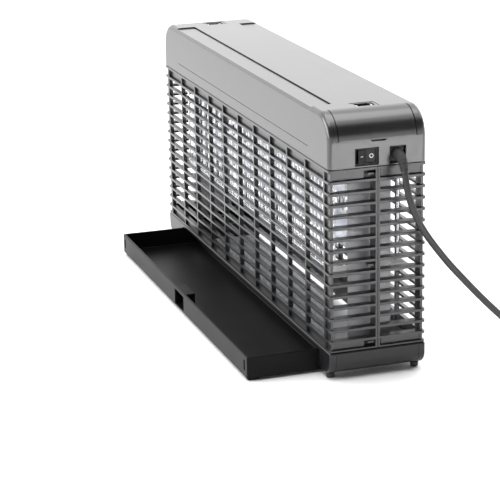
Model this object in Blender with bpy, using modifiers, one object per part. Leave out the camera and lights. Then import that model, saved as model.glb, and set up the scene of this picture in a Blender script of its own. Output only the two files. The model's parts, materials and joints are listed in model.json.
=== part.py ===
"""Electric bug zapper with two horizontal lamps, staggered high-voltage wire grids, a louvred
cage in two halves and a catch tray that slides out of the base.

Metres, +Z up. X runs along the length with the switch and the mains lead at +X, Y runs through
the thickness with the tray sliding out towards -Y. The origin is on the standing surface, at the
centre of the body's length and of its depth with the tray drawn out. The shapes are drawn about
the body's own centre plane, and one empty carries them all to their place.
"""

import math

import bmesh
import bpy
from mathutils import Matrix, Vector

# Driving dimensions.
LENGTH = 0.496
WIDTH = 0.090
HEIGHT = 0.237
WALL = 0.0025
GAP = 0.0003
HALF_L = LENGTH / 2
HALF_W = WIDTH / 2

# Levels, from the standing surface up.
BASE_LOW = 0.005
BASE_TOP = 0.026
CAGE_LOW = 0.0265
CAGE_TOP = 0.1898
COVER_LOW = 0.1905

# Louvred cage.
SLATS = 15
SLAT_PITCH = 0.01023
SLAT_HEIGHT = 0.0025
SLAT_ZERO = 0.190
CAGE_RAIL = 0.0015
CAGE_DEPTH = 0.0043
BAYS = 10
BAR_WIDTH = 0.0028
POST = 0.0142
SPLIT_BAR = 0.0022

# Top cover and its end panels.
ROLL = 0.025
ROLL_STEPS = 6
COVER_EDGE = 0.0045
PANEL_HALF_Y = 0.0363
PANEL_LOW = 0.214
PANEL_BACK = 0.0255

# Switch and mains lead in the near end of the cover.
SWITCH_Y = -0.0102
SWITCH_Z = 0.1993
SWITCH_W = 0.0214
SWITCH_H = 0.0150
SWITCH_FACE = HALF_L - 0.0018
ROCKER_PIVOT = HALF_L - 0.0066
ROCKER_TILT = math.radians(7)
INLET_Y = 0.0182
INLET_Z = 0.1990
INLET_SIDE = 0.0152
INLET_FACE = HALF_L - 0.0030

# Base and tray.
BASE_ROLL = 0.012
TRAY_NEAR = 0.2205
TRAY_FAR = -0.1950
TRAY_OUT = 0.067
TRAY_DEPTH = 0.084
TRAY_WALL = 0.0020
TRAY_LOW = 0.0022
TRAY_TOP = 0.0222
TRAY_FRONT = -HALF_W - TRAY_OUT
BODY_Y = TRAY_OUT / 2
FOOT_X = HALF_L - 0.013
FOOT_Y = HALF_W - 0.005
FOOT_R = 0.004

# Inside of the cage.
BRACKET_X = 0.2265
BRACKET_T = 0.0015
TUBE_R = 0.013
TUBE_HALF = 0.219
TUBE_LEVELS = (0.113, 0.160)
GRID_LOW = 0.090
GRID_TOP = 0.184
GRID_WIRES = 24
WIRE_PITCH = 0.0184
WIRE = 0.0019
RAIL = 0.0030
GRID_LIVE_Y = 0.0245
GRID_EARTH_Y = 0.0315
CHASSIS_Z = 0.1925

# Hanging bails in the top.
BAIL_X = 0.2100
BAIL_Y = 0.0010
BAIL_WIRE = 0.0009
BAIL_ARM = 0.0070
BAIL_DROP = 0.0018
BAIL_POCKET = 0.0048
BAIL_RIM = 0.0025
BAIL_HALF = 0.0068

# Mains lead.
CORD_R = 0.0030
RELIEF_BEND = 0.015
RELIEF_ANGLE = math.radians(78)
RELIEF_STRAIGHT = 0.003
CORD_ROUTE = [
    (0.2634, 0.0182, 0.1868), (0.2665, 0.0190, 0.1735), (0.2685, 0.0222, 0.1590),
    (0.2697, 0.0278, 0.1450), (0.2700, 0.0360, 0.1310), (0.2697, 0.0465, 0.1165),
    (0.2688, 0.0590, 0.1010), (0.2672, 0.0735, 0.0850), (0.2650, 0.0890, 0.0685),
    (0.2620, 0.1055, 0.0520), (0.2580, 0.1230, 0.0360), (0.2530, 0.1410, 0.0215),
    (0.2470, 0.1590, 0.0105), (0.2405, 0.1765, 0.0046), (0.2335, 0.1925, 0.0032),
    (0.2285, 0.2046, 0.0032),
]
COIL_X = 0.188
COIL_Y = 0.228
COIL_IN = 0.024
COIL_OUT = 0.042
COIL_HIGH = 0.013
COIL_TURN = 0.039
PLUG_REAR = 0.150
PLUG_Z = 0.0072

PARTS = bpy.data.collections.new("bug_zapper")
CUTTERS = bpy.data.collections.new("cutters")
MATERIALS = {}
FINISHES = {
    "black_plastic": ((0.030, 0.030, 0.032), 0.42, 0.0),
    "tray_plastic": ((0.022, 0.022, 0.024), 0.38, 0.0),
    "rubber": ((0.015, 0.015, 0.016), 0.75, 0.0),
    "cord_rubber": ((0.012, 0.012, 0.013), 0.55, 0.0),
    "grid_steel": ((0.62, 0.62, 0.64), 0.28, 1.0),
    "sheet_steel": ((0.50, 0.51, 0.53), 0.40, 1.0),
    "lamp_glass": ((0.86, 0.88, 0.94), 0.15, 0.0),
    "white_plastic": ((0.80, 0.80, 0.78), 0.45, 0.0),
    "core_steel": ((0.20, 0.20, 0.22), 0.50, 1.0),
    "gloss_black": ((0.012, 0.012, 0.013), 0.20, 0.0),
}


def clear_scene():
    for obj in list(bpy.data.objects):
        bpy.data.objects.remove(obj, do_unlink=True)


def finish(name):
    """The Principled material of one finish, made once."""
    if name not in MATERIALS:
        color, roughness, metallic = FINISHES[name]
        mat = bpy.data.materials.new(name)
        mat.use_nodes = True
        shader = mat.node_tree.nodes["Principled BSDF"]
        shader.inputs["Base Color"].default_value = (*color, 1.0)
        shader.inputs["Roughness"].default_value = roughness
        shader.inputs["Metallic"].default_value = metallic
        mat.diffuse_color = (*color, 1.0)
        MATERIALS[name] = mat
    return MATERIALS[name]


def new_object(name, shape, mat, origin=(0, 0, 0)):
    """An object from a bmesh in world coordinates, with its origin at the given point."""
    bmesh.ops.translate(shape, verts=shape.verts, vec=-Vector(origin))
    mesh = bpy.data.meshes.new(name)
    shape.to_mesh(mesh)
    shape.free()
    obj = bpy.data.objects.new(name, mesh)
    obj.location = origin
    if mat is None:
        CUTTERS.objects.link(obj)
        obj.hide_render = True
        obj.display_type = "WIRE"
    else:
        PARTS.objects.link(obj)
        mesh.materials.append(finish(mat))
    return obj


def box_shape(low, high):
    shape = bmesh.new()
    low, high = Vector(low), Vector(high)
    size = high - low
    place = Matrix.Translation((low + high) / 2) @ Matrix.Diagonal((*size, 1.0))
    bmesh.ops.create_cube(shape, size=1.0, matrix=place)
    return shape


def rod_shape(start, end, radius, sides, end_radius=None):
    """A round bar, or a cone when the end radius differs."""
    shape = bmesh.new()
    start, end = Vector(start), Vector(end)
    turn = (end - start).to_track_quat("Z", "Y").to_matrix().to_4x4()
    bmesh.ops.create_cone(
        shape, cap_ends=True, segments=sides, radius1=radius,
        radius2=radius if end_radius is None else end_radius,
        depth=(end - start).length, matrix=Matrix.Translation((start + end) / 2) @ turn,
    )
    return shape


def add_bevel(obj, width, segments=1, angle=50):
    mod = obj.modifiers.new("edge", "BEVEL")
    mod.width = width
    mod.segments = segments
    mod.limit_method = "ANGLE"
    mod.angle_limit = math.radians(angle)


def block(name, low, high, mat, bevel=0.0, origin=(0, 0, 0)):
    obj = new_object(name, box_shape(low, high), mat, origin)
    if bevel:
        add_bevel(obj, bevel)
    return obj


def rod(name, start, end, radius, mat, sides=16, end_radius=None):
    obj = new_object(name, rod_shape(start, end, radius, sides, end_radius), mat)
    if mat is not None:
        obj.data.shade_smooth()
        obj.data.set_sharp_from_angle(angle=math.radians(40))
    return obj


def combine(obj, other, operation):
    mod = obj.modifiers.new(operation.lower(), "BOOLEAN")
    mod.operation = operation
    mod.solver = "EXACT"
    mod.object = other


def cut_box(obj, name, low, high):
    combine(obj, block(name, low, high, None), "DIFFERENCE")


def cut_rod(obj, name, start, end, radius, sides=12):
    combine(obj, rod(name, start, end, radius, None, sides), "DIFFERENCE")


def join_box(obj, name, low, high):
    combine(obj, block(name, low, high, None), "UNION")


def prism_shape(outline, half_y):
    """An outline in the XZ plane, extruded to both sides of Y = 0."""
    shape = bmesh.new()
    verts = [shape.verts.new((x, -half_y, z)) for x, z in outline]
    face = shape.faces.new(verts)
    moved = bmesh.ops.extrude_face_region(shape, geom=[face])["geom"]
    new_verts = [v for v in moved if isinstance(v, bmesh.types.BMVert)]
    bmesh.ops.translate(shape, verts=new_verts, vec=(0, 2 * half_y, 0))
    bmesh.ops.recalc_face_normals(shape, faces=shape.faces)
    return shape


def arc(cx, cz, radius, start, end, steps):
    """Points of an arc in the XZ plane, with both ends, angles in degrees from +X."""
    angles = [math.radians(start + (end - start) * i / steps) for i in range(steps + 1)]
    return [(cx + radius * math.cos(a), cz + radius * math.sin(a)) for a in angles]


def smooth_route(points, step):
    """Evenly spaced points of a Catmull-Rom curve through a route."""
    pts = [Vector(p) for p in points]
    pts = [2 * pts[0] - pts[1], *pts, 2 * pts[-1] - pts[-2]]
    fine = []
    for a, b, c, d in zip(pts, pts[1:], pts[2:], pts[3:]):
        for i in range(20):
            t = i / 20
            fine.append(
                0.5 * (2 * b + (c - a) * t + (2 * a - 5 * b + 4 * c - d) * t * t
                       + (3 * b - a - 3 * c + d) * t ** 3)
            )
    fine.append(pts[-2])
    reach = [0.0]
    for a, b in zip(fine, fine[1:]):
        reach.append(reach[-1] + (b - a).length)
    count = max(2, round(reach[-1] / step))
    found, k = [], 0
    for i in range(count + 1):
        want = reach[-1] * i / count
        while k < len(reach) - 2 and reach[k + 1] < want:
            k += 1
        part = (want - reach[k]) / max(1e-9, reach[k + 1] - reach[k])
        found.append(fine[k].lerp(fine[k + 1], min(1.0, part)))
    return found


def tube(name, points, radius, mat, origin=(0, 0, 0), radii=None, resolution=2):
    """A POLY curve with a round bevel and filled caps."""
    curve = bpy.data.curves.new(name, "CURVE")
    curve.dimensions = "3D"
    curve.bevel_depth = radius
    curve.bevel_resolution = resolution
    curve.use_fill_caps = True
    line = curve.splines.new("POLY")
    line.points.add(len(points) - 1)
    for i, (point, place) in enumerate(zip(line.points, points)):
        point.co = (*(Vector(place) - Vector(origin)), 1.0)
        point.radius = radii[i] if radii else 1.0
    obj = bpy.data.objects.new(name, curve)
    obj.location = origin
    curve.materials.append(finish(mat))
    PARTS.objects.link(obj)
    return obj


def cage_rows():
    """Levels of the cage from the bottom rail up, and whether each band is open."""
    levels = [(CAGE_LOW, False)]
    levels.append((CAGE_LOW + CAGE_RAIL, True))
    for j in range(SLATS, 0, -1):
        top = SLAT_ZERO - SLAT_PITCH * j
        levels.append((top - SLAT_HEIGHT, False))
        levels.append((top, True))
    levels.append((CAGE_TOP - SLAT_HEIGHT, False))
    levels.append((CAGE_TOP, None))
    return levels


def cage_plan():
    """Plan of the front half's outer face from the near split bar round to the far one, each
    point with whether the strip after it is open."""
    end = [
        (HALF_L, -GAP / 2, False),
        (HALF_L, -SPLIT_BAR, True),
        (HALF_L, -HALF_W + CAGE_DEPTH, False),
        (HALF_L, -HALF_W, False),
    ]
    side = []
    bay = (LENGTH - 2 * POST + BAR_WIDTH) / BAYS
    for k in range(BAYS):
        edge = HALF_L - POST - k * bay
        side.append((edge, -HALF_W, True))
        side.append((edge - bay + BAR_WIDTH, -HALF_W, False))
    far = [(-x, y, None) for x, y, _ in reversed(end)]
    for i, state in enumerate((False, True, False, None)):
        far[i] = (*far[i][:2], state)
    return end + side + far


def cage_half(name, side):
    """One half of the louvred cage: an open lattice surface given its depth inwards."""
    plan, rows = cage_plan(), cage_rows()
    shape = bmesh.new()
    grid = [[shape.verts.new((x, side * y, z)) for z, _ in rows] for x, y, _ in plan]
    for i, (_, _, open_strip) in enumerate(plan[:-1]):
        for j, (_, open_band) in enumerate(rows[:-1]):
            if open_strip and open_band:
                continue
            shape.faces.new([grid[i][j], grid[i][j + 1], grid[i + 1][j + 1], grid[i + 1][j]])
    loose = [v for v in shape.verts if not v.link_faces]
    bmesh.ops.delete(shape, geom=loose, context="VERTS")
    shape.normal_update()
    front = next(f for f in shape.faces if abs(f.normal.y) > 0.9)
    if front.normal.y * side > 0:
        bmesh.ops.reverse_faces(shape, faces=shape.faces)
    obj = new_object(name, shape, "black_plastic")
    mod = obj.modifiers.new("depth", "SOLIDIFY")
    mod.thickness = CAGE_DEPTH
    mod.offset = -1.0
    mod.use_even_offset = True
    return obj


def cover_outline():
    right = arc(HALF_L - ROLL, HEIGHT - ROLL, ROLL, 0, 90, ROLL_STEPS)
    left = [(-x, z) for x, z in reversed(right)]
    return [(HALF_L, COVER_LOW), *right, *left, (-HALF_L, COVER_LOW)]


def top_cover():
    shape = prism_shape(cover_outline(), HALF_W)
    under = [f for f in shape.faces if f.normal.z < -0.9]
    bmesh.ops.delete(shape, geom=under, context="FACES")
    cover = new_object("top_cover", shape, "black_plastic")
    add_bevel(cover, COVER_EDGE, segments=2, angle=50)
    mod = cover.modifiers.new("wall", "SOLIDIFY")
    mod.thickness = WALL
    mod.offset = -1.0
    mod.use_even_offset = True
    reach = 0.002
    for end, side in (("near", 1), ("far", -1)):
        xs = sorted((side * (HALF_L - PANEL_BACK), side * (HALF_L + reach)))
        cut_box(cover, f"panel_window_{end}", (xs[0], -PANEL_HALF_Y, PANEL_LOW),
                (xs[1], PANEL_HALF_Y, HEIGHT + reach))
        cut_box(cover, f"bail_slot_{end}",
                *bail_slot(side, HEIGHT - 0.004, HEIGHT + reach, BAIL_RIM + GAP))
    half_w, half_h = SWITCH_W / 2 + GAP, SWITCH_H / 2 + GAP
    cut_box(cover, "switch_hole", (HALF_L - 0.006, SWITCH_Y - half_w, SWITCH_Z - half_h),
            (HALF_L + reach, SWITCH_Y + half_w, SWITCH_Z + half_h))
    half = INLET_SIDE / 2
    cut_box(cover, "inlet_hole", (HALF_L - 0.006, INLET_Y - half, INLET_Z - half),
            (HALF_L + reach, INLET_Y + half, INLET_Z + half))


def end_panel(name, side):
    """A curved lid that fills the window in one end roll of the cover."""
    back, low = PANEL_BACK - GAP, PANEL_LOW + GAP
    outer = arc(HALF_L - ROLL, HEIGHT - ROLL, ROLL, 0, 90, ROLL_STEPS)
    inner = arc(HALF_L - ROLL, HEIGHT - ROLL, ROLL - WALL, 0, 90, ROLL_STEPS)
    outer[0], inner[0] = (HALF_L, low), (HALF_L - WALL, low)
    outer.append((HALF_L - back, HEIGHT))
    inner.append((HALF_L - back, HEIGHT - WALL))
    outline = [(side * x, z) for x, z in outer + inner[::-1]]
    return new_object(name, prism_shape(outline, PANEL_HALF_Y - GAP), "black_plastic")


def bail_slot(side, low, high, extra=0.0):
    """Box of the pocket that a hanging bail folds into."""
    near = BAIL_X - BAIL_WIRE - 0.0008 - extra
    far = BAIL_X + BAIL_ARM + BAIL_WIRE + 0.0008 + extra
    half = BAIL_HALF + BAIL_WIRE + 0.0008 + extra
    xs = sorted((side * near, side * far))
    return (xs[0], BAIL_Y - half, low), (xs[1], BAIL_Y + half, high)


def hanging_bail(end, side):
    """A folded wire bail and the seat under the cover that holds its pivot pins."""
    seat_low, seat_high = bail_slot(side, HEIGHT - 0.0070, HEIGHT - GAP, BAIL_RIM)
    seat = block(f"bail_seat_{end}", seat_low, seat_high, "black_plastic")
    cut_box(seat, f"bail_pocket_{end}", *bail_slot(side, HEIGHT - BAIL_POCKET, HEIGHT + 0.001))
    x, reach = side * BAIL_X, BAIL_HALF + 0.0030
    arm, corner = side * BAIL_ARM, 0.0010
    pivot = (x, BAIL_Y, HEIGHT - BAIL_DROP)
    cut_rod(seat, f"bail_bore_{end}", (x, BAIL_Y - reach - 0.0004, pivot[2]),
            (x, BAIL_Y + reach + 0.0004, pivot[2]), BAIL_WIRE + 0.0004)
    half_path = [
        (x, BAIL_Y + reach), (x, BAIL_Y + BAIL_HALF + corner), (x + side * corner, BAIL_Y + BAIL_HALF),
        (x + arm - side * corner, BAIL_Y + BAIL_HALF), (x + arm, BAIL_Y + BAIL_HALF - corner),
    ]
    path = [(px, py, pivot[2]) for px, py in half_path]
    path += [(px, 2 * BAIL_Y - py, pivot[2]) for px, py in reversed(half_path)]
    tube(f"hanging_bail_{end}", path, BAIL_WIRE, "grid_steel", origin=pivot, resolution=1)


def switch():
    """Panel rocker switch: a bezel body and a rocker turned to its off side."""
    half_w, half_h = SWITCH_W / 2, SWITCH_H / 2
    bezel = block("switch_bezel", (HALF_L - 0.020, SWITCH_Y - half_w, SWITCH_Z - half_h),
                  (SWITCH_FACE, SWITCH_Y + half_w, SWITCH_Z + half_h), "gloss_black")
    room_w, room_h = 0.0092, 0.0060
    cut_box(bezel, "rocker_room", (HALF_L - 0.0130, SWITCH_Y - room_w, SWITCH_Z - room_h),
            (HALF_L, SWITCH_Y + room_w, SWITCH_Z + room_h))
    side, crown, dip = 0.0082, 0.0052, 0.0040
    outline = [(crown, -side), (dip, 0.0), (crown, side), (-0.0010, 0.0064), (-0.0030, 0.0),
               (-0.0010, -0.0064)]
    shape = bmesh.new()
    verts = [shape.verts.new((x, y, SWITCH_Z - 0.0056)) for x, y in outline]
    moved = bmesh.ops.extrude_face_region(shape, geom=[shape.faces.new(verts)])["geom"]
    lifted = [v for v in moved if isinstance(v, bmesh.types.BMVert)]
    bmesh.ops.translate(shape, verts=lifted, vec=(0, 0, 0.0112))
    bmesh.ops.recalc_face_normals(shape, faces=shape.faces)
    pivot = Vector((ROCKER_PIVOT, SWITCH_Y, SWITCH_Z))
    bmesh.ops.translate(shape, verts=shape.verts, vec=(pivot.x, pivot.y, 0))
    bmesh.ops.rotate(shape, verts=shape.verts, cent=pivot, matrix=Matrix.Rotation(ROCKER_TILT, 3, "Z"))
    new_object("switch_rocker", shape, "gloss_black", pivot)


def relief_path():
    """Centreline of the strain relief: straight out of the gland, then bending down."""
    start = Vector((INLET_FACE + GAP, INLET_Y, INLET_Z))
    bend = start + Vector((RELIEF_STRAIGHT, 0, 0))
    path = [start]
    for i in range(8):
        a = RELIEF_ANGLE * i / 7
        path.append(bend + Vector((RELIEF_BEND * math.sin(a), 0, -RELIEF_BEND * (1 - math.cos(a)))))
    return path


def lead_inlet():
    half = INLET_SIDE / 2 - GAP
    block("cord_gland", (HALF_L - 0.018, INLET_Y - half, INLET_Z - half),
          (INLET_FACE, INLET_Y + half, INLET_Z + half), "rubber", bevel=0.0012)
    path = relief_path()
    radii = [1.75 - 0.62 * i / (len(path) - 1) for i in range(len(path))]
    tube("strain_relief", path, CORD_R, "rubber", radii=radii)


def mains_lead():
    """The lead's free stretch, its coil, the short tail out of the coil and the plug."""
    tube("power_cord", smooth_route(CORD_ROUTE, 0.0135), CORD_R, "cord_rubber")
    profile = bmesh.new()
    round_off = 0.0025
    ring = [
        (COIL_OUT - round_off, COIL_HIGH), (COIL_OUT, COIL_HIGH - round_off), (COIL_OUT, round_off),
        (COIL_OUT - round_off, 0.0), (COIL_IN + round_off, 0.0), (COIL_IN, round_off),
        (COIL_IN, COIL_HIGH - round_off), (COIL_IN + round_off, COIL_HIGH),
    ]
    verts = [profile.verts.new((r, 0, z)) for r, z in ring]
    for a, b in zip(verts, verts[1:] + verts[:1]):
        profile.edges.new((a, b))
    coil = new_object("cord_coil", profile, "cord_rubber")
    coil.location = (COIL_X, COIL_Y, 0)
    turned = coil.modifiers.new("turned", "SCREW")
    turned.steps = turned.render_steps = 24
    turned.use_merge_vertices = True
    turned.merge_threshold = 0.00001
    exit_x = COIL_X - math.sqrt((COIL_OUT + CORD_R + GAP) ** 2 - COIL_TURN ** 2)
    tail_y = COIL_Y + COIL_TURN
    tail = [(exit_x, tail_y, 0.0084), (exit_x - 0.0075, tail_y, 0.0076), (PLUG_REAR + GAP, tail_y, PLUG_Z)]
    tube("cord_tail", tail, CORD_R, "cord_rubber")
    mains_plug(tail_y)


def mains_plug(y):
    """A flat two-pin plug with a tapered boot, lying on the standing surface."""
    boot_end, nose = PLUG_REAR - 0.022, PLUG_REAR - 0.056
    plug = block("mains_plug", (nose, y - 0.0130, 0.0002), (boot_end, y + 0.0130, 0.0142),
                 "cord_rubber", bevel=0.003)
    boot = rod("plug_boot", (PLUG_REAR, y, PLUG_Z), (boot_end - 0.004, y, PLUG_Z), 0.0036, None, 12, 0.0060)
    combine(plug, boot, "UNION")
    for i, offset in enumerate((-0.0093, 0.0093)):
        pin = rod(f"plug_pin_{i + 1}", (nose + 0.004, y + offset, PLUG_Z),
                  (nose - 0.019, y + offset, PLUG_Z), 0.0020, None, 10)
        combine(plug, pin, "UNION")


def base():
    """Base frame: rounded ends, open underneath for the tray and open on top for what falls."""
    right = arc(HALF_L - BASE_ROLL, BASE_LOW + BASE_ROLL, BASE_ROLL, -90, 0, 4)
    outline = [*right, (HALF_L, BASE_TOP), (-HALF_L, BASE_TOP)]
    outline += [(-x, z) for x, z in reversed(right)]
    shape = prism_shape(outline, HALF_W)
    flank = [e for e in shape.edges
             if abs(e.verts[0].co.y - e.verts[1].co.y) < 1e-6
             and not all(v.co.z > BASE_TOP - 1e-6 for v in e.verts)
             and any(abs(f.normal.y) > 0.9 for f in e.link_faces)]
    bmesh.ops.bevel(shape, geom=flank, offset=0.002, segments=2, affect="EDGES", profile=0.5)
    obj = new_object("base", shape, "black_plastic")
    room = 0.0006
    cut_box(obj, "tray_bay", (TRAY_FAR - room, -HALF_W - 0.01, 0),
            (TRAY_NEAR + room, HALF_W - WALL, TRAY_TOP + room))
    cut_box(obj, "drop_opening", (-HALF_L + 0.024, -HALF_W + 0.006, TRAY_TOP - 0.002),
            (HALF_L - 0.028, HALF_W - 0.006, BASE_TOP + 0.01))
    for end, (low, high) in (("near", (TRAY_NEAR + 0.0035, HALF_L - 0.010)),
                             ("far", (-HALF_L + 0.010, TRAY_FAR - 0.0035))):
        cut_box(obj, f"end_hollow_{end}", (low, -0.032, 0), (high, 0.032, BASE_TOP - 0.003))
    for i, (x, y) in enumerate(screw_places()):
        cut_rod(obj, f"screw_hole_{i + 1}", (x, y, 0.018), (x, y, BASE_TOP + 0.002), 0.0019, 10)


def screw_places():
    return [(x, y) for x in (-0.2320, 0.2320) for y in (-0.012, 0.012)]


def feet_and_screws():
    for i, (sx, sy) in enumerate(((1, -1), (1, 1), (-1, -1), (-1, 1))):
        x, y = sx * FOOT_X, sy * FOOT_Y
        rod(f"foot_{i + 1}", (x, y, 0), (x, y, BASE_LOW - GAP), FOOT_R * 0.85, "rubber", 14, FOOT_R)
    for i, (x, y) in enumerate(screw_places()):
        head = BASE_TOP - 0.003 - GAP
        screw = rod(f"base_screw_{i + 1}", (x, y, head - 0.0022), (x, y, head), 0.0034, "sheet_steel", 12)
        shank = rod(f"screw_shank_{i + 1}", (x, y, head - 0.001), (x, y, BASE_TOP + 0.005), 0.0015, None, 10)
        combine(screw, shank, "UNION")


def tray():
    """Open catch tray, drawn out of the base, with a finger pull in its front wall."""
    back = TRAY_FRONT + TRAY_DEPTH
    obj = block("catch_tray", (TRAY_FAR, TRAY_FRONT, TRAY_LOW), (TRAY_NEAR, back, TRAY_TOP), "tray_plastic")
    add_bevel(obj, 0.0008)
    cut_box(obj, "tray_inside", (TRAY_FAR + TRAY_WALL, TRAY_FRONT + TRAY_WALL, TRAY_LOW + TRAY_WALL),
            (TRAY_NEAR - TRAY_WALL, back - TRAY_WALL, TRAY_TOP + 0.01))
    centre = (TRAY_NEAR + TRAY_FAR) / 2
    half, depth = 0.016, 0.012
    join_box(obj, "pull_block", (centre - half, TRAY_FRONT + 0.001, TRAY_LOW + 0.001),
             (centre + half, TRAY_FRONT + depth, TRAY_TOP - 0.003))
    cut_box(obj, "pull_notch", (centre - half + TRAY_WALL, TRAY_FRONT - 0.01, TRAY_LOW + TRAY_WALL),
            (centre + half - TRAY_WALL, TRAY_FRONT + depth - TRAY_WALL, TRAY_TOP - 0.005))
    for i, x in enumerate((TRAY_FAR + 0.008, TRAY_NEAR - 0.008)):
        join_box(obj, f"tray_foot_{i + 1}", (x - 0.005, TRAY_FRONT + 0.002, 0),
                 (x + 0.005, TRAY_FRONT + 0.012, 0.003))


def end_bracket(name, side):
    """Folded sheet bracket that hangs from the chassis and carries the lamp holders."""
    x, fold = side * BRACKET_X, side * 0.0105
    half, low, top = 0.0200, BASE_TOP + GAP, CHASSIS_Z - GAP
    outer = x + side * BRACKET_T
    xs = sorted((x, outer))
    obj = block(name, (xs[0], -half, low), (xs[1], half, top), "sheet_steel")
    lip = sorted((outer - side * 0.0005, x + fold))
    join_box(obj, f"{name}_lip", (lip[0], -half, low), (lip[1], half, low + BRACKET_T))
    for i, (hx, hy) in enumerate(screw_places()):
        if hx * side > 0:
            cut_rod(obj, f"{name}_hole_{i + 1}", (hx, hy, low - 0.002), (hx, hy, low + 0.005), 0.0019, 10)


def lamps():
    for row, z in zip(("lower", "upper"), TUBE_LEVELS):
        rod(f"lamp_{row}", (-TUBE_HALF, 0, z), (TUBE_HALF, 0, z), TUBE_R, "lamp_glass", 20)
        for end, side in (("near", 1), ("far", -1)):
            xs = sorted((side * (TUBE_HALF + GAP), side * (BRACKET_X - GAP)))
            block(f"lamp_holder_{row}_{end}", (xs[0], -0.011, z - 0.016), (xs[1], 0.011, z + 0.014),
                  "white_plastic", bevel=0.0015)


def wire_grid(name, y, shift):
    """One grid of upright wires between two rails, as a single welded piece."""
    half = BRACKET_X - 0.0085
    obj = block(name, (-half, y - RAIL / 2, GRID_LOW), (half, y + RAIL / 2, GRID_LOW + RAIL), "grid_steel")
    lattice = box_shape((-half, y - RAIL / 2, GRID_TOP - RAIL), (half, y + RAIL / 2, GRID_TOP))
    top = new_object(f"{name}_top_rail", lattice, None)
    combine(obj, top, "UNION")
    wires = bmesh.new()
    first = -WIRE_PITCH * (GRID_WIRES - 1) / 2 + shift
    for i in range(GRID_WIRES):
        x = first + i * WIRE_PITCH
        size = Matrix.Diagonal((WIRE, WIRE, GRID_TOP - GRID_LOW - RAIL, 1))
        place = Matrix.Translation((x, y, (GRID_LOW + GRID_TOP) / 2))
        bmesh.ops.create_cube(wires, size=1.0, matrix=place @ size)
    combine(obj, new_object(f"{name}_wires", wires, None), "UNION")


def grids():
    for face, side in (("front", -1), ("rear", 1)):
        wire_grid(f"live_grid_{face}", side * GRID_LIVE_Y, -WIRE_PITCH / 4)
        wire_grid(f"earth_grid_{face}", side * GRID_EARTH_Y, WIRE_PITCH / 4)
    for end, side in (("near", 1), ("far", -1)):
        xs = sorted((side * (BRACKET_X - 0.0085 + GAP), side * (BRACKET_X - GAP)))
        for row, z in (("lower", GRID_LOW + RAIL / 2), ("upper", GRID_TOP - RAIL / 2)):
            block(f"grid_insulator_{row}_{end}", (xs[0], -0.0350, z - 0.0042), (xs[1], 0.0350, z + 0.0042),
                  "white_plastic", bevel=0.0008)


def electrics():
    """What stands on the chassis under the cover."""
    floor = CHASSIS_Z + 0.0012 + GAP
    block("chassis", (-0.240, -0.0410, CHASSIS_Z), (0.227, 0.0410, CHASSIS_Z + 0.0012), "sheet_steel")
    for i, x in enumerate((-0.150, -0.020)):
        ballast = block(f"ballast_{i + 1}", (x - 0.055, -0.018, floor), (x + 0.055, 0.018, floor + 0.028),
                        "core_steel")
        join_box(ballast, f"ballast_coil_{i + 1}", (x - 0.035, -0.021, floor + 0.004),
                 (x + 0.035, 0.021, floor + 0.024))
    core = block("hv_transformer", (0.085, -0.020, floor), (0.135, 0.020, floor + 0.036), "core_steel")
    join_box(core, "hv_winding", (0.094, -0.028, floor + 0.007), (0.126, 0.028, floor + 0.029))
    for i, y in enumerate((-0.028, 0.028)):
        place = y * 1.12, floor + 0.0100
        rod(f"starter_{i + 1}", (-0.100, *place), (-0.066, *place), 0.0093, "white_plastic", 14)
    block("terminal_block", (0.160, -0.022, floor), (0.174, 0.022, floor + 0.014), "white_plastic",
          bevel=0.001)


def build():
    clear_scene()
    for collection in (PARTS, CUTTERS):
        bpy.context.scene.collection.children.link(collection)
    top_cover()
    end_panel("end_panel_near", 1)
    end_panel("end_panel_far", -1)
    cage_half("front_grille", 1)
    cage_half("rear_grille", -1)
    for end, side in (("near", 1), ("far", -1)):
        hanging_bail(end, side)
        end_bracket(f"end_bracket_{end}", side)
    switch()
    lead_inlet()
    mains_lead()
    base()
    feet_and_screws()
    tray()
    lamps()
    grids()
    electrics()
    centre = bpy.data.objects.new("body_centre", None)
    centre.location = (0, BODY_Y, 0)
    for obj in [*PARTS.objects, *CUTTERS.objects]:
        obj.parent = centre
    PARTS.objects.link(centre)


build()
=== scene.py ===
import json
import math

import bmesh
import bpy
from mathutils import Matrix, Vector


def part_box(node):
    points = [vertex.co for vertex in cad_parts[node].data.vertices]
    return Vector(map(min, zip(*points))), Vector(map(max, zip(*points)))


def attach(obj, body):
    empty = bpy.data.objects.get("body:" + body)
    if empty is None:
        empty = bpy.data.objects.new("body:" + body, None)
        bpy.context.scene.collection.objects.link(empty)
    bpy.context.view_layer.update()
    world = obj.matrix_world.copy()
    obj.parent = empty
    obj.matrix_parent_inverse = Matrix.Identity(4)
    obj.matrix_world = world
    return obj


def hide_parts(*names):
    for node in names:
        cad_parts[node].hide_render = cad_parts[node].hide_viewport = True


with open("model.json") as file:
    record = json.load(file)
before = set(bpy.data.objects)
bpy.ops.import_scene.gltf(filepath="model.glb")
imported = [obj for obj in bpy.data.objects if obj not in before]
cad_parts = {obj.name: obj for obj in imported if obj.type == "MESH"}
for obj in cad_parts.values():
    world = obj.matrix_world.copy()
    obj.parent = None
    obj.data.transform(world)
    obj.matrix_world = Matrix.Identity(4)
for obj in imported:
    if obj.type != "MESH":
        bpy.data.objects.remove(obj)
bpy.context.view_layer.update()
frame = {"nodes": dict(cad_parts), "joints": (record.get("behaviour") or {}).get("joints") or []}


def corners(node):
    """A CAD node's lowest and highest corners, in metres."""
    low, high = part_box(node)
    return Vector(low), Vector(high)


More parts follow.
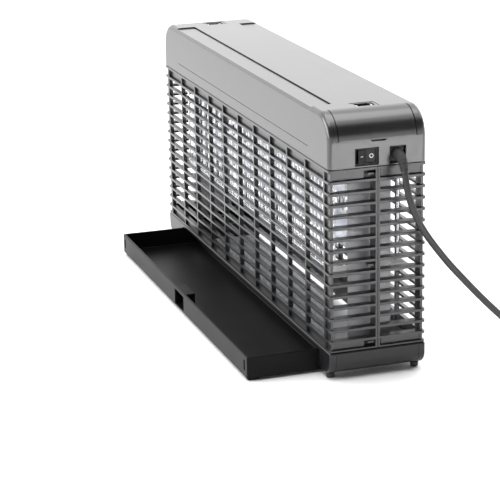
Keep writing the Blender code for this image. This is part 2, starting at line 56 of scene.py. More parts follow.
# Places read from the frame.
COVER_LOW, COVER_HIGH = corners("top_cover")
CAGE_LOW, CAGE_HIGH = corners("front_grille")
BASE_LOW, BASE_HIGH = corners("base")
TRAY_LOW, TRAY_HIGH = corners("catch_tray")
BEZEL_LOW, BEZEL_HIGH = corners("switch_bezel")
GLAND_LOW, GLAND_HIGH = corners("cord_gland")
COIL_LOW, COIL_HIGH = corners("cord_coil")
PLUG_LOW, PLUG_HIGH = corners("mains_plug")
COIL_CENTRE = (COIL_LOW + COIL_HIGH) / 2
HALF_L = COVER_HIGH.x
HALF_W = (COVER_HIGH.y - COVER_LOW.y) / 2
MID_Y = (COVER_HIGH.y + COVER_LOW.y) / 2
TOP = COVER_HIGH.z

# The design's own sizes, in metres, as in the CAD. Y is about the body's centre plane.
GAP = 0.0003
WALL = 0.0025
ROLL = 0.025
LID_HALF_Y = 0.0363
LID_LOW = 0.214
LID_BACK = 0.0255
SLATS = 15
SLAT_PITCH = 0.01023
SLAT_ZERO = 0.190
SLAT_HEIGHT = 0.0025
SLAT_DEPTH = 0.0043
END_SLAT_DEPTH = 0.0080
BOTTOM_RAIL = 0.0015
POST = 0.0142
BAR_WIDTH = 0.0028
HALF_CENTRE_BAR = 0.0022
BAYS = 10
BASE_ROLL = 0.012
TRAY_WALL = 0.0020
TRAY_SKID = 0.0022
GRID_RAIL = 0.003
GRID_PITCH = 0.0184
GRID_WIRES = 24
CORD_R = 0.0030
CORD_ON_FLOOR = 0.0032
PLUG_AXIS = 0.0072
ENDS = (("near", 1), ("far", -1))

# How far a cutter reaches past the surface that it cuts.
OVER = 0.002

# The lead's free stretch. It follows the CAD's, drawn in a little where that stands furthest out.
CORD_ROUTE = [
    (0.2634, 0.0182, 0.1868), (0.2665, 0.0190, 0.1735), (0.2685, 0.0222, 0.1590),
    (0.2696, 0.0278, 0.1450), (0.2698, 0.0360, 0.1310), (0.2695, 0.0465, 0.1165),
    (0.2688, 0.0590, 0.1010), (0.2672, 0.0735, 0.0850), (0.2650, 0.0890, 0.0685),
    (0.2620, 0.1055, 0.0520), (0.2580, 0.1230, 0.0360), (0.2530, 0.1410, 0.0215),
    (0.2470, 0.1590, 0.0105), (0.2405, 0.1765, 0.0046), (0.2335, 0.1925, 0.0032),
    (0.2272, 0.2080, 0.0032),
]
CORD_STEP = 0.004


# Materials.

def new_material(name):
    mat = bpy.data.materials.new(name)
    mat.use_nodes = True
    return mat, mat.node_tree.nodes["Principled BSDF"]


def textured(name, color, roughness, metallic=0.0, grain=900.0, bump=0.12, spread=0.12, stretch=(1, 1, 1),
             specular=0.5, coat=0.0):
    """A surface with a fine moulded or drawn grain, and slow changes of tone and gloss."""
    mat, shader = new_material(name)
    nodes, links = mat.node_tree.nodes, mat.node_tree.links
    shader.inputs["Metallic"].default_value = metallic
    shader.inputs["Specular IOR Level"].default_value = specular
    shader.inputs["Coat Weight"].default_value = coat
    shader.inputs["Coat Roughness"].default_value = 0.15
    place = nodes.new("ShaderNodeTexCoord")
    scale = nodes.new("ShaderNodeMapping")
    scale.inputs["Scale"].default_value = stretch
    links.new(place.outputs["Object"], scale.inputs["Vector"])
    fine = nodes.new("ShaderNodeTexNoise")
    fine.inputs["Scale"].default_value = grain
    fine.inputs["Detail"].default_value = 3.0
    slow = nodes.new("ShaderNodeTexNoise")
    slow.inputs["Scale"].default_value = 14.0
    slow.inputs["Detail"].default_value = 4.0
    for node in (fine, slow):
        links.new(scale.outputs["Vector"], node.inputs["Vector"])
    tone = nodes.new("ShaderNodeValToRGB")
    dark, light = tone.color_ramp.elements
    dark.position, light.position = 0.3, 0.7
    dark.color = (*[c * (1 - spread) for c in color], 1)
    light.color = (*[min(1, c * (1 + spread)) for c in color], 1)
    links.new(slow.outputs["Fac"], tone.inputs["Fac"])
    links.new(tone.outputs["Color"], shader.inputs["Base Color"])
    gloss = nodes.new("ShaderNodeMapRange")
    gloss.inputs["To Min"].default_value = roughness * 0.88
    gloss.inputs["To Max"].default_value = roughness * 1.12
    links.new(slow.outputs["Fac"], gloss.inputs["Value"])
    links.new(gloss.outputs["Result"], shader.inputs["Roughness"])
    relief = nodes.new("ShaderNodeBump")
    relief.inputs["Strength"].default_value = bump
    relief.inputs["Distance"].default_value = 0.0002
    links.new(fine.outputs["Fac"], relief.inputs["Height"])
    links.new(relief.outputs["Normal"], shader.inputs["Normal"])
    return mat


SHELL = textured("satin_black_abs", (0.012, 0.012, 0.013), 0.22, bump=0.05, specular=1.0)
CAGE = textured("satin_black_louvres", (0.009, 0.009, 0.010), 0.28, bump=0.05, specular=0.75)
TRAY = textured("satin_black_tray", (0.003, 0.003, 0.0034), 0.42, bump=0.05, specular=0.12)
PLINTH = textured("satin_black_base", (0.008, 0.008, 0.009), 0.30, bump=0.06, specular=0.40)
RUBBER = textured("matt_rubber", (0.012, 0.012, 0.013), 0.62, grain=1400, bump=0.20)
SHEATH = textured("cord_sheath", (0.010, 0.010, 0.011), 0.42, grain=1800, bump=0.10)
GLOSS = textured("gloss_switch", (0.006, 0.006, 0.007), 0.26, grain=1500, bump=0.22, specular=0.2)
PRINT = textured("white_print", (0.82, 0.82, 0.80), 0.55, grain=2500, bump=0.08, spread=0.04)
WIRE = textured("bright_wire", (0.80, 0.80, 0.82), 0.24, metallic=1.0, grain=700, bump=0.10,
                stretch=(1, 1, 0.05))
SHEET = textured("zinc_sheet", (0.55, 0.56, 0.58), 0.36, metallic=1.0, grain=220, bump=0.06, spread=0.18)
BRACKET = textured("grey_bracket", (0.30, 0.30, 0.31), 0.42, metallic=0.6, grain=500, bump=0.06)
LAMP = textured("phosphor_glass", (0.84, 0.87, 0.95), 0.16, grain=1800, bump=0.03, spread=0.03, coat=0.6)
CAP = textured("lamp_cap", (0.78, 0.78, 0.80), 0.30, metallic=1.0, grain=900, bump=0.05)
INSULATOR = textured("white_insulator", (0.74, 0.74, 0.71), 0.45, grain=1200, bump=0.08, spread=0.05)
CORE = textured("varnished_core", (0.10, 0.085, 0.075), 0.45, metallic=0.4, grain=60, bump=0.30,
                stretch=(30, 1, 1))
BRASS = textured("plug_pin", (0.76, 0.66, 0.42), 0.26, metallic=1.0, grain=900, bump=0.05)


# Helpers.

def at(x, y, z):
    """A point given about the body's centre plane."""
    return Vector((x, MID_Y + y, z))


def span(side, start, end):
    """Two distances from the middle, mirrored to one side, in rising order."""
    return sorted((side * start, side * end))


def add_box(shape, low, high):
    low, high = Vector(low), Vector(high)
    size = Matrix.Diagonal((*(high - low), 1.0))
    bmesh.ops.create_cube(shape, size=1.0, matrix=Matrix.Translation((low + high) / 2) @ size)


def box(low, high):
    shape = bmesh.new()
    add_box(shape, low, high)
    return shape


def add_rod(shape, start, end, radius, sides, end_radius=None):
    start, end = Vector(start), Vector(end)
    turn = (end - start).to_track_quat("Z", "Y").to_matrix().to_4x4()
    bmesh.ops.create_cone(
        shape, cap_ends=True, segments=sides, radius1=radius,
        radius2=radius if end_radius is None else end_radius,
        depth=(end - start).length, matrix=Matrix.Translation((start + end) / 2) @ turn,
    )


def extrude(points, move):
    """A closed prism from an outline of 3-D points, moved along a vector."""
    shape = bmesh.new()
    face = shape.faces.new([shape.verts.new(p) for p in points])
    moved = bmesh.ops.extrude_face_region(shape, geom=[face])["geom"]
    verts = [v for v in moved if isinstance(v, bmesh.types.BMVert)]
    bmesh.ops.translate(shape, verts=verts, vec=move)
    bmesh.ops.recalc_face_normals(shape, faces=shape.faces)
    return shape


def profile_prism(outline, half_y):
    """An outline in the XZ plane, as deep as half_y to both sides of the body's centre plane."""
    return extrude([at(x, -half_y, z) for x, z in outline], (0, 2 * half_y, 0))


def arc(cx, cy, radius, start, end, steps):
    """Points of an arc in a plane, between two angles in degrees."""
    angles = [math.radians(start + (end - start) * i / steps) for i in range(steps + 1)]
    return [(cx + radius * math.cos(a), cy + radius * math.sin(a)) for a in angles]


def merge(shape, other):
    """Adds a second bmesh to the first."""
    mesh = bpy.data.meshes.new("merge")
    other.to_mesh(mesh)
    other.free()
    shape.from_mesh(mesh)
    bpy.data.meshes.remove(mesh)


def raw(name, shape):
    """Turns a bmesh into an object of that name."""
    mesh = bpy.data.meshes.new(name)
    shape.to_mesh(mesh)
    shape.free()
    obj = bpy.data.objects.new(name, mesh)
    bpy.context.scene.collection.objects.link(obj)
    return obj


def bevel(obj, width, segments, angle):
    mod = obj.modifiers.new("edge", "BEVEL")
    mod.width = width
    mod.segments = segments
    mod.limit_method = "ANGLE"
    mod.angle_limit = math.radians(angle)


def bake(obj, cutters=(), operation="DIFFERENCE"):
    """Applies the object's modifiers and Booleans, and removes the cutters."""
    tools = [raw("cutter", shape) for shape in cutters]
    for tool in tools:
        mod = obj.modifiers.new("cut", "BOOLEAN")
        mod.operation = operation
        mod.object = tool
    graph = bpy.context.evaluated_depsgraph_get()
    mesh = bpy.data.meshes.new_from_object(obj.evaluated_get(graph))
    obj.modifiers.clear()
    obj.data = mesh
    for tool in tools:
        bpy.data.objects.remove(tool, do_unlink=True)


def rounded(shape, width, segments):
    """The bmesh with its edges bevelled, as a new bmesh."""
    obj = raw("rounding", shape)
    bevel(obj, width, segments, 40)
    bake(obj)
    shape = bmesh.new()
    shape.from_mesh(obj.data)
    bpy.data.objects.remove(obj, do_unlink=True)
    return shape


def dress(obj, mat, body="housing", replaces=()):
    """Gives a mesh piece its material and smooth shading, and ties it to the frame."""
    obj.data.materials.clear()
    obj.data.materials.append(mat)
    obj.data.shade_smooth()
    obj.data.set_sharp_from_angle(angle=math.radians(32))
    flat = obj.modifiers.new("flat_faces_stay_flat", "WEIGHTED_NORMAL")
    flat.keep_sharp = True
    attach(obj, body)
    if replaces:
        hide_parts(*replaces)


# Top cover and end lids.

def cover_cuts(end, side):
    """The openings and lines at one end and along one side of the cover."""
    out_x, out_y, above = HALF_L + OVER, HALF_W + OVER, TOP + OVER
    x0, x1 = span(side, HALF_L - LID_BACK, out_x)
    lid_opening = box(at(x0, -LID_HALF_Y, LID_LOW), at(x1, LID_HALF_Y, above))
    low, high = corners(f"bail_seat_{end}")
    room = 0.0002
    seat_slot = box(low - Vector((room, room, 0)), high + Vector((room, room, 0.01)))
    strip_x, strip_y = HALF_L - 0.046, 0.0250
    y0, y1 = span(side, strip_y, out_y)
    side_step = box(at(-strip_x, y0, TOP - 0.0011), at(strip_x, y1, above))
    y0, y1 = span(side, strip_y - 0.0006, strip_y + 0.0004)
    groove = box(at(-strip_x + 0.001, y0, TOP - 0.0019), at(strip_x - 0.001, y1, above))
    y0, y1 = span(side, HALF_W - 0.0006, out_y)
    line_x = HALF_L - 0.051
    side_line = box(at(-line_x, y0, 0.2004), at(line_x, y1, 0.2010))
    x0, x1 = span(side, HALF_L - 0.0040, out_x)
    pry_slot = box(at(x0, -0.0058, LID_LOW - 0.0018), at(x1, 0.0078, LID_LOW + 0.0002))
    return [lid_opening, seat_slot, side_step, groove, side_line, pry_slot]


def top_cover():
    right = arc(HALF_L - ROLL, TOP - ROLL, ROLL, 0, 90, 24)
    left = [(-x, z) for x, z in reversed(right)]
    shape = profile_prism([(HALF_L, COVER_LOW.z), *right, *left, (-HALF_L, COVER_LOW.z)], HALF_W)
    under = [f for f in shape.faces if f.normal.z < -0.9]
    bmesh.ops.delete(shape, geom=under, context="FACES")
    cover = raw("cover_shell", shape)
    bevel(cover, 0.0045, 5, 50)
    mod = cover.modifiers.new("wall", "SOLIDIFY")
    mod.thickness, mod.offset, mod.use_even_offset = WALL, -1.0, True
    bake(cover)
    cutters = [cut for end, side in ENDS for cut in cover_cuts(end, side)]
    pocket = HALF_L - 0.006
    for low, high in ((BEZEL_LOW, BEZEL_HIGH), (GLAND_LOW, GLAND_HIGH)):
        cutters.append(box((pocket, low.y - GAP, low.z - GAP), (HALF_L + OVER, high.y + GAP, high.z + GAP)))
    bake(cover, cutters)
    dress(cover, SHELL, replaces=["top_cover"])


def end_panels():
    back, low = HALF_L - (LID_BACK - GAP), LID_LOW + 0.0007
    inset_x, inset_y = 0.0001, 0.0008
    outer = arc(HALF_L - ROLL, TOP - ROLL, ROLL, 0, 90, 24)
    inner = arc(HALF_L - ROLL, TOP - ROLL, ROLL - WALL, 0, 90, 24)
    outer[0], inner[0] = (HALF_L, low), (HALF_L - WALL, low)
    outer.append((back, TOP))
    inner.append((back, TOP - WALL))
    for end, side in ENDS:
        outline = [(side * (x - inset_x), z) for x, z in outer + inner[::-1]]
        lid = raw(f"end_lid_{end}", profile_prism(outline, LID_HALF_Y - inset_y))
        bevel(lid, 0.0003, 2, 40)
        bake(lid)
        dress(lid, SHELL, replaces=[f"end_panel_{end}"])


# Louvred cage.

def wrap(shape, side, low, high):
    """Adds a flat bar that runs round one half of the cage, with rounded outer corners."""
    gap, radius = GAP / 2, 0.0028
    right = arc(HALF_L - radius, HALF_W - radius, radius, 0, 90, 5)
    outer = [(HALF_L, gap), *right, *[(-x, y) for x, y in reversed(right)], (-HALF_L, gap)]
    in_x, in_y = HALF_L - END_SLAT_DEPTH, HALF_W - SLAT_DEPTH
    plan = [*outer, (-in_x, gap), (-in_x, in_y), (in_x, in_y), (in_x, gap)]
    merge(shape, extrude([at(x, side * y, low) for x, y in plan], (0, 0, high - low)))


def side_box(shape, side, xs, ys, zs):
    """Adds a box on one side of the centre plane. ys are distances from it, xs come in any order."""
    y0, y1 = span(side, *ys)
    add_box(shape, at(min(xs), y0, zs[0]), at(max(xs), y1, zs[1]))


def cage_half(name, node, side):
    """Slats and rails, backing bands in the end rows, upright bars, corner posts and snap clips."""
    low, high = CAGE_LOW.z, CAGE_HIGH.z
    full = (low, high)
    shape = bmesh.new()
    for j in range(1, SLATS + 1):
        top = SLAT_ZERO - SLAT_PITCH * j
        wrap(shape, side, top - SLAT_HEIGHT, top)
    wrap(shape, side, high - SLAT_HEIGHT, high)
    wrap(shape, side, low, low + BOTTOM_RAIL)
    first, last = SLAT_ZERO - SLAT_PITCH, SLAT_ZERO - SLAT_PITCH * SLATS
    # The front half carries the clips, so its bands stop further from the centre bar.
    band_y, clip_y = (0.0118, 0.0086) if side < 0 else (0.0040, 0.0034)
    band_in, band_out = 0.003, (HALF_W - 0.0036, HALF_W - 0.0026)
    for zs in ((first + 0.0004, high - 0.002), (low + 0.001, last - SLAT_HEIGHT - 0.0006)):
        side_box(shape, side, (-HALF_L + band_in, HALF_L - band_in), band_out, zs)
        for _, end in ENDS:
            side_box(shape, side, span(end, HALF_L - 0.0040, HALF_L - 0.0028), (band_y, HALF_W - band_in), zs)
    bay = (2 * HALF_L - 2 * POST + BAR_WIDTH) / BAYS
    for k in range(BAYS + 1):
        x = HALF_L - POST + BAR_WIDTH - k * bay
        side_box(shape, side, (x - BAR_WIDTH, x), (HALF_W - SLAT_DEPTH, HALF_W - 0.0001), full)
    clip_half = 0.0010
    for _, end in ENDS:
        side_box(shape, side, span(end, HALF_L - 0.0022, HALF_L - POST + 0.001),
                 (HALF_W - 0.0045, HALF_W - 0.0019), full)
        side_box(shape, side, span(end, HALF_L - 0.013, HALF_L - 0.0001), (GAP / 2, HALF_CENTRE_BAR), full)
        for z in ((first + high - SLAT_HEIGHT) / 2, SLAT_ZERO - 8.62 * SLAT_PITCH, (low + last) / 2):
            side_box(shape, side, span(end, HALF_L - 0.0100, HALF_L - 0.0024), (HALF_CENTRE_BAR, clip_y),
                     (z - clip_half, z + clip_half))
    cage = raw(name, shape)
    bevel(cage, 0.00035, 2, 40)
    bake(cage)
    dress(cage, CAGE, replaces=[node])


# Base, feet and tray.

def base_seam(side, y):
    """A cutter for the fine line round one bottom roll of the base."""
    depth_out, depth_in, half_width = 0.0005, 0.0006, 0.0002
    centre_x, centre_z, line_top = HALF_L - BASE_ROLL, BASE_LOW.z + BASE_ROLL, BASE_HIGH.z - 0.0015
    ring = arc(centre_x, centre_z, BASE_ROLL + depth_out, -90, 0, 10)
    ring += [(HALF_L + depth_out, line_top), (HALF_L - depth_in, line_top)]
    ring += arc(centre_x, centre_z, BASE_ROLL - depth_in, 0, -90, 10)
    return extrude([at(side * x, y - half_width, z) for x, z in ring], (0, 2 * half_width, 0))


def base():
    right = arc(HALF_L - BASE_ROLL, BASE_LOW.z + BASE_ROLL, BASE_ROLL, -90, 0, 10)
    right.append((HALF_L, BASE_HIGH.z))
    obj = raw("base_frame", profile_prism(right + [(-x, z) for x, z in reversed(right)], HALF_W))
    bevel(obj, 0.0016, 3, 50)
    bake(obj)
    room, lid, rim = 0.0006, TRAY_HIGH.z, 0.006
    hollow_y, hollow_top, web, end_wall = 0.032, BASE_HIGH.z - 0.003, 0.0035, 0.010
    tray_bay = box((TRAY_LOW.x - room, COVER_LOW.y - 0.01, 0),
                   (TRAY_HIGH.x + room, COVER_HIGH.y - WALL, lid + room))
    drop_opening = box(at(-HALF_L + 0.024, -HALF_W + rim, lid - 0.002),
                       at(HALF_L - 0.028, HALF_W - rim, BASE_HIGH.z + 0.01))
    near_hollow = box(at(TRAY_HIGH.x + web, -hollow_y, 0), at(HALF_L - end_wall, hollow_y, hollow_top))
    far_hollow = box(at(-HALF_L + end_wall, -hollow_y, 0), at(TRAY_LOW.x - web, hollow_y, hollow_top))
    seams = [base_seam(side, y) for y in (-0.0390, 0.0390) for _, side in ENDS]
    bake(obj, [tray_bay, drop_opening, near_hollow, far_hollow, *seams])
    dress(obj, PLINTH, replaces=["base"])


def feet():
    for i in range(1, 5):
        low, high = corners(f"foot_{i}")
        mid, radius = (low + high) / 2, (high.x - low.x) / 2
        shape = bmesh.new()
        add_rod(shape, (mid.x, mid.y, low.z), (mid.x, mid.y, high.z), radius * 0.86, 32, radius)
        foot = raw(f"rubber_foot_{i}", shape)
        bevel(foot, 0.0007, 3, 40)
        bake(foot)
        dress(foot, RUBBER, replaces=[f"foot_{i}"])


def tray():
    """An open box with two skids and a pocket in its front wall to pull it by."""
    wall = TRAY_WALL
    low, high = Vector((TRAY_LOW.x, TRAY_LOW.y, TRAY_SKID)), TRAY_HIGH
    obj = raw("drawn_tray", box(low, high))
    bevel(obj, 0.0011, 3, 40)
    inside = box(low + Vector((wall, wall, wall)), (high.x - wall, high.y - wall, high.z + 0.01))
    bake(obj, [rounded(inside, 0.0012, 3)])
    mid, half, depth, pocket_wall = (low.x + high.x) / 2, 0.016, 0.0115, 0.0015
    block = box((mid - half, low.y + 0.001, low.z + 0.001), (mid + half, low.y + depth, high.z - 0.0004))
    skids = [box((x - 0.005, low.y + 0.002, 0.0), (x + 0.005, low.y + 0.012, 0.003))
             for x in (low.x + 0.008, high.x - 0.008)]
    bake(obj, [block, *skids], "UNION")
    before = low.y - 0.01
    pocket = box((mid - half + pocket_wall, before, low.z + wall),
                 (mid + half - pocket_wall, low.y + depth - pocket_wall, high.z - 0.0030))
    slots = [box((x - 0.0016, before, low.z + 0.0060), (x + 0.0016, low.y + 0.0012, low.z + 0.0155))
             for x in (low.x + 0.0075, high.x - 0.0075)]
    bake(obj, [pocket, *slots])
    bevel(obj, 0.00025, 2, 40)
    dress(obj, TRAY, body="tray", replaces=["catch_tray"])


# Switch marks.

def flat_ring(inner, outer, thick, steps=32):
    """A flat ring about the X axis, from X = 0 to its thickness."""
    shape = bmesh.new()
    section = [(inner, 0), (outer, 0), (outer, thick), (inner, thick)]
    loops = []
    for i in range(steps):
        a = 2 * math.pi * i / steps
        loops.append([shape.verts.new((h, r * math.cos(a), r * math.sin(a))) for r, h in section])
    for a, b in zip(loops, loops[1:] + loops[:1]):
        for k in range(4):
            shape.faces.new([a[k], a[(k + 1) % 4], b[(k + 1) % 4], b[k]])
    bmesh.ops.recalc_face_normals(shape, faces=shape.faces)
    return shape


def switch_marks():
    """A bar and a ring printed on the two halves of the rocker, which slope away from its middle."""
    joint = next(j for j in frame["joints"] if j["name"] == "rocker_tilt")
    rest_tilt, slope = math.radians(7), math.atan2(0.0012, 0.0082)
    turn = Matrix.Translation(Vector(joint["pos_m"])) @ Matrix.Rotation(rest_tilt, 4, "Z")
    thick, offset, middle_x, proud = 0.00008, 0.0046, 0.0040, 0.00002
    ring = flat_ring(0.00135, 0.00185, thick)
    bar = box((0, -0.0012, -0.00028), (thick, 0.0012, 0.00028))
    for name, side, shape in (("off_mark", 1, ring), ("on_mark", -1, bar)):
        place = Matrix.Translation((middle_x + offset * math.tan(slope) + proud, side * offset, 0))
        shape.transform(turn @ place @ Matrix.Rotation(-side * slope, 4, "Z"))
        dress(raw(name, shape), PRINT, body="rocker")


# Mains lead.

def smooth_route(points, step):
    """Evenly spaced points of a Catmull-Rom curve through a route."""
    pts = [Vector(p) for p in points]
    pts = [2 * pts[0] - pts[1], *pts, 2 * pts[-1] - pts[-2]]
    pieces, fine = 20, []
    for a, b, c, d in zip(pts, pts[1:], pts[2:], pts[3:]):
        for i in range(pieces):
            t = i / pieces
            fine.append(0.5 * (2 * b + (c - a) * t + (2 * a - 5 * b + 4 * c - d) * t * t
                               + (3 * b - a - 3 * c + d) * t ** 3))
    fine.append(pts[-2])
    found, gone = [fine[0]], 0.0
    for a, b in zip(fine, fine[1:]):
        gone += (b - a).length
        if gone >= step:
            found.append(b)
            gone = 0.0
    return found


def coil_points():
    """Two layers of two turns, wound inwards on the floor and outwards on top."""
    outer, inner, low, high = 0.039, 0.027, CORD_ON_FLOOR, 0.0096
    turns, climb, steps = 2.0, 0.25, 48
    points = []
    for i in range(round((2 * turns + climb) * steps) + 1):
        t = i / steps
        if t < turns:
            radius, z = outer + (inner - outer) * t / turns, low
        elif t < turns + climb:
            part = (t - turns) / climb
            radius, z = inner, low + (high - low) * (3 * part ** 2 - 2 * part ** 3)
        else:
            radius, z = inner + (outer - inner) * (t - turns - climb) / turns, high
        a = 2 * math.pi * t
        points.append(Vector((COIL_CENTRE.x + radius * math.cos(a), COIL_CENTRE.y + radius * math.sin(a), z)))
    return points


def curve_piece(name, points, mat, radii=None):
    """A round curve of the cord's radius, or of that times each point's own factor."""
    curve = bpy.data.curves.new(name, "CURVE")
    curve.dimensions = "3D"
    curve.bevel_depth = CORD_R
    curve.bevel_resolution = 6
    curve.use_fill_caps = True
    line = curve.splines.new("POLY")
    line.points.add(len(points) - 1)
    for i, (point, place) in enumerate(zip(line.points, points)):
        point.co = (*place, 1.0)
        point.radius = radii[i] if radii else 1.0
    line.use_smooth = True
    obj = bpy.data.objects.new(name, curve)
    bpy.context.scene.collection.objects.link(obj)
    curve.materials.append(mat)
    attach(obj, "housing")
    return obj


def mains_lead():
    coil = coil_points()
    lead = smooth_route([*[at(*p) for p in CORD_ROUTE], coil[0]], CORD_STEP)
    end_x, tail_y, plug_rear = coil[-1].x, coil[-1].y, PLUG_HIGH.x
    tail = smooth_route([coil[-1], (end_x - 0.012, tail_y, 0.0094), (end_x - 0.025, tail_y, 0.0080),
                         (plug_rear - 0.004, tail_y, PLUG_AXIS)], CORD_STEP)
    points = lead + coil[1:] + tail[1:]
    cord = curve_piece("mains_cord", points, SHEATH)
    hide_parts("power_cord", "cord_coil", "cord_tail")
    relief = strain_relief()
    plug = mains_plug(tail_y, plug_rear)
    tie = cord_tie()


def strain_relief():
    """A ribbed, tapered boot that bends down from the gland."""
    gland = (GLAND_LOW + GLAND_HIGH) / 2
    start = Vector((GLAND_HIGH.x + GAP, gland.y, gland.z))
    bend, radius, angle, steps = start + Vector((0.003, 0, 0)), 0.015, math.radians(78), 44
    points = [start]
    for i in range(steps + 1):
        a = angle * i / steps
        points.append(bend + Vector((radius * math.sin(a), 0, -radius * (1 - math.cos(a)))))
    widest, taper, groove, plain_ends = 1.75, 0.62, 0.10, 5
    radii = []
    for i in range(len(points)):
        ribbed = plain_ends < i < len(points) - plain_ends + 1 and i % 6 in (3, 4)
        radii.append(widest - taper * i / (len(points) - 1) - groove * ribbed)
    relief = curve_piece("ribbed_relief", points, RUBBER, radii=radii)
    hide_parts("strain_relief")
    return relief


def mains_plug(y, rear):
    """A flat moulded body with a ribbed boot, and two round pins as a piece of their own."""
    nose, boot_end, z, half_width = PLUG_LOW.x + 0.019, rear - 0.022, PLUG_AXIS, 0.0130
    body = box((nose, y - half_width, 0.0002), (boot_end, y + half_width, 0.0142))
    shape = rounded(body, 0.0045, 5)
    ribs, boot_length, rib_width = 6, 0.024, 0.0032
    for i in range(ribs):
        part = i / ribs
        x = rear - boot_length * part
        add_rod(shape, (x, y, z), (x - rib_width, y, z), 0.0036 + 0.0024 * part, 32)
    add_rod(shape, (rear - 0.0004, y, z), (boot_end - 0.002, y, z), 0.0032, 32, 0.0056)
    plug = raw("two_pin_plug", shape)
    dress(plug, SHEATH, replaces=["mains_plug"])
    pins = bmesh.new()
    for offset in (-0.0093, 0.0093):
        add_rod(pins, (nose + 0.001, y + offset, z), (nose - 0.0185, y + offset, z), 0.0020, 28)
    contacts = raw("plug_contacts", pins)
    bevel(contacts, 0.0006, 3, 50)
    bake(contacts)
    dress(contacts, BRASS)
    return plug


def cord_tie():
    """A flat tie round the bundle of turns, on the side of the coil nearest the object."""
    low, high, near, far, half_width, half_thick = 0.0000, 0.0129, 0.0236, 0.0420, 0.0035, 0.0002
    ring = [(near, low), (far, low), (far, high), (near, high)]
    x, y = COIL_CENTRE.x, COIL_CENTRE.y
    shape = bmesh.new()
    for (r0, z0), (r1, z1) in zip(ring, ring[1:] + ring[:1]):
        # The bottom strip is thick upwards only, because it lies on the floor.
        thick = 0.0003 if z0 == z1 == low else 0.0
        add_box(shape, (x - half_width, y - max(r0, r1) - half_thick, min(z0, z1)),
                (x + half_width, y - min(r0, r1) + half_thick, max(z0, z1) + thick))
    tie = raw("cord_tie", shape)
    dress(tie, RUBBER)
    return tie


# Inside of the cage.

def wire_grids():
    """Upright wires between two rails, the live and the earthed ones half a pitch apart."""
    for face in ("front", "rear"):
        for kind, shift in (("live", -GRID_PITCH / 4), ("earth", GRID_PITCH / 4)):
            node = f"{kind}_grid_{face}"
            low, high = corners(node)
            y, radius = (low.y + high.y) / 2, GRID_RAIL / 2
            shape = bmesh.new()
            for z in (low.z + radius, high.z - radius):
                add_rod(shape, (low.x, y, z), (high.x, y, z), radius, 16)
            for i in range(GRID_WIRES):
                x = -GRID_PITCH * (GRID_WIRES - 1) / 2 + shift + i * GRID_PITCH
                add_rod(shape, (x, y, low.z + 0.0008), (x, y, high.z - 0.0008), 0.00105, 12)
            dress(raw(f"{kind}_wires_{face}", shape), WIRE, replaces=[node])


def lamps():
    """Glass tubes with metal end caps."""
    cap = 0.016
    for row in ("lower", "upper"):
        low, high = corners(f"lamp_{row}")
        y, z, radius = (low.y + high.y) / 2, (low.z + high.z) / 2, (high.z - low.z) / 2
        tube, caps = bmesh.new(), bmesh.new()
        add_rod(tube, (low.x + cap, y, z), (high.x - cap, y, z), radius, 48)
        for end, inwards in ((high.x, -cap), (low.x, cap)):
            add_rod(caps, (end, y, z), (end + inwards, y, z), radius * 0.97, 48)
        dress(raw(f"glass_tube_{row}", tube), LAMP, replaces=[f"lamp_{row}"])
        ends = raw(f"tube_caps_{row}", caps)
        bevel(ends, 0.0010, 2, 50)
        bake(ends)
        dress(ends, CAP)


def carried_nodes():
    """Gives the CAD solids that show as they are their material."""
    looks = {
        "switch": GLOSS, "cord_gland": RUBBER, "bail_seat": SHELL, "hanging_bail": WIRE,
        "end_bracket": BRACKET, "chassis": SHEET, "base_screw": SHEET, "lamp_holder": INSULATOR,
        "grid_insulator": INSULATOR, "ballast": CORE, "hv_transformer": CORE, "starter": INSULATOR,
        "terminal": INSULATOR,
    }
    for name, obj in frame["nodes"].items():
        for start, mat in looks.items():
            if name.startswith(start):
                obj.data.materials.clear()
                obj.data.materials.append(mat)


# Floor, light and camera.

def smooth_range(nodes, start, end, at_start, at_end):
    node = nodes.new("ShaderNodeMapRange")
    node.interpolation_type = "SMOOTHSTEP"
    node.inputs["From Min"].default_value = start
    node.inputs["From Max"].default_value = end
    node.inputs["To Min"].default_value = at_start
    node.inputs["To Max"].default_value = at_end
    return node


def studio_world():
    """White walls behind and above the object, a dark room behind the camera, and light near the floor."""
    world = bpy.context.scene.world or bpy.data.worlds.new("studio")
    bpy.context.scene.world = world
    world.use_nodes = True
    nodes, links = world.node_tree.nodes, world.node_tree.links
    place = nodes.new("ShaderNodeTexCoord")
    split = nodes.new("ShaderNodeSeparateXYZ")
    links.new(place.outputs["Generated"], split.inputs["Vector"])
    lean = nodes.new("ShaderNodeMath")
    lean.operation = "MULTIPLY_ADD"
    lean.inputs[1].default_value = -0.8
    links.new(split.outputs["X"], lean.inputs[0])
    links.new(split.outputs["Z"], lean.inputs[2])
    walls = smooth_range(nodes, 0.35, 0.68, 0.05, 1.9)
    links.new(lean.outputs["Value"], walls.inputs["Value"])
    skirt = smooth_range(nodes, 0.12, 0.36, 1.5, 0.0)
    links.new(split.outputs["Z"], skirt.inputs["Value"])
    brighter = nodes.new("ShaderNodeMath")
    brighter.operation = "MAXIMUM"
    links.new(walls.outputs["Result"], brighter.inputs[0])
    links.new(skirt.outputs["Result"], brighter.inputs[1])
    links.new(brighter.outputs["Value"], nodes["Background"].inputs["Strength"])
    nodes["Background"].inputs["Color"].default_value = (1, 1, 1, 1)


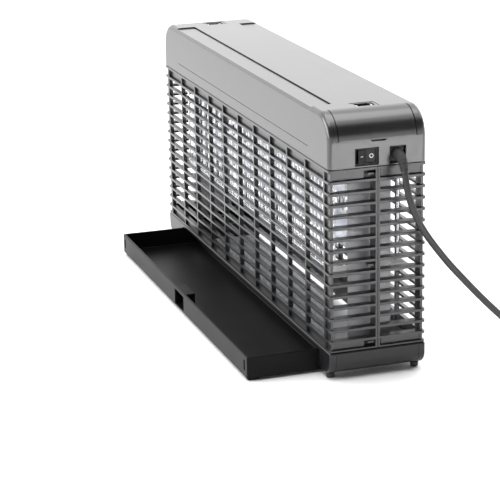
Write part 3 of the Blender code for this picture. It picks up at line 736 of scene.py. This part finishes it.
def area_light(name, place):
    data = bpy.data.lights.new(name, "AREA")
    obj = bpy.data.objects.new(name, data)
    obj.location = place
    bpy.context.scene.collection.objects.link(obj)
    return obj, data


def lights():
    """Large softboxes aimed at the object, and one lamp for the floor that the near end reflects."""
    aim = Vector((0.05, 0.03, 0.1))
    for name, place, size, power in (
        ("left_softbox", (-0.3, -2.1, 0.9), (2.4, 1.2), 46),
        ("top_softbox", (0.0, 0.0, 2.1), (2.2, 1.6), 26),
        ("rear_right_softbox", (-0.9, 1.9, 1.2), (1.6, 1.2), 10),
    ):
        obj, data = area_light(name, place)
        obj.rotation_euler = (aim - Vector(place)).to_track_quat("-Z", "Y").to_euler()
        data.shape, data.energy = "RECTANGLE", power
        data.size, data.size_y = size
    obj, data = area_light("floor_panel", (1.25, 0.35, 1.3))
    obj.visible_glossy = False
    data.size, data.spread, data.energy = 0.9, math.radians(60), 14


def stage():
    shape = bmesh.new()
    bmesh.ops.create_grid(shape, x_segments=1, y_segments=1, size=6.0)
    floor = raw("floor", shape)
    floor.location.z = -0.0002
    mat, shader = new_material("pale_floor")
    shader.inputs["Base Color"].default_value = (0.90, 0.90, 0.90, 1)
    shader.inputs["Roughness"].default_value = 0.55
    floor.data.materials.append(mat)
    studio_world()
    lights()


def camera():
    """A long lens, high up off the near end, on the side that the tray comes out of."""
    data = bpy.data.cameras.new("camera")
    data.lens, data.sensor_width = 140.8, 36.0
    data.clip_start, data.clip_end = 0.05, 50.0
    cam = bpy.data.objects.new("camera", data)
    right, up = Vector((0.31814, 0.94788, -0.01784)), Vector((-0.26808, 0.10799, 0.95732))
    turn = Matrix((right, up, right.cross(up))).transposed().to_4x4()
    cam.matrix_world = Matrix.Translation((1.7468, -0.5768, 0.6041)) @ turn
    bpy.context.scene.collection.objects.link(cam)
    bpy.context.scene.camera = cam
    bpy.context.scene.view_settings.view_transform = "Standard"


camera()
mains_lead()
top_cover()
end_panels()
cage_half("louvres_front", "front_grille", -1)
cage_half("louvres_rear", "rear_grille", 1)
base()
feet()
tray()
switch_marks()
wire_grids()
lamps()
carried_nodes()
stage()
